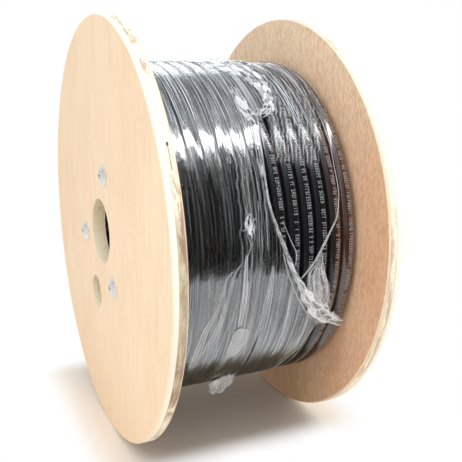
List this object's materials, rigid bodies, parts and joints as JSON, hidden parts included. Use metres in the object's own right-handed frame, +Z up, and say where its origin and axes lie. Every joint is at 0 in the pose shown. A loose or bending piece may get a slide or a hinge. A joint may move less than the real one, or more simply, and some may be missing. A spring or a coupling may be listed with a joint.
{
  "type": "wooden cable drum",
  "caption": "Small plywood drum wound full of round black cable and wrapped in clear film, with an arbor bore and a drive hole through both flanges.",
  "frame": {"origin": "on the drum's axis, midway between the outer faces of the two flanges", "axes": "+X along the drum's axis from the bolt-head flange to the nut flange, +Z up with the drum lying on its flange rims"},
  "size_m": [0.1732, 0.32, 0.32],
  "materials": {
    "plywood": "sawn, unfinished",
    "fibre_tube": "matte",
    "cable_jacket": "glossy",
    "stretch_film": "clear, glossy",
    "zinc_steel": "bright zinc plate"
  },
  "bodies": {
    "root": {"flange_left": "plywood", "flange_right": "plywood", "barrel": "fibre_tube", "cable_winding": "cable_jacket", "wrap_film": "stretch_film", "bolt_1": "zinc_steel", "bolt_2": "zinc_steel", "bolt_3": "zinc_steel", "washer_1": "zinc_steel", "washer_2": "zinc_steel", "washer_3": "zinc_steel", "nut_1": "zinc_steel", "nut_2": "zinc_steel", "nut_3": "zinc_steel"}
  },
  "joints": []
}
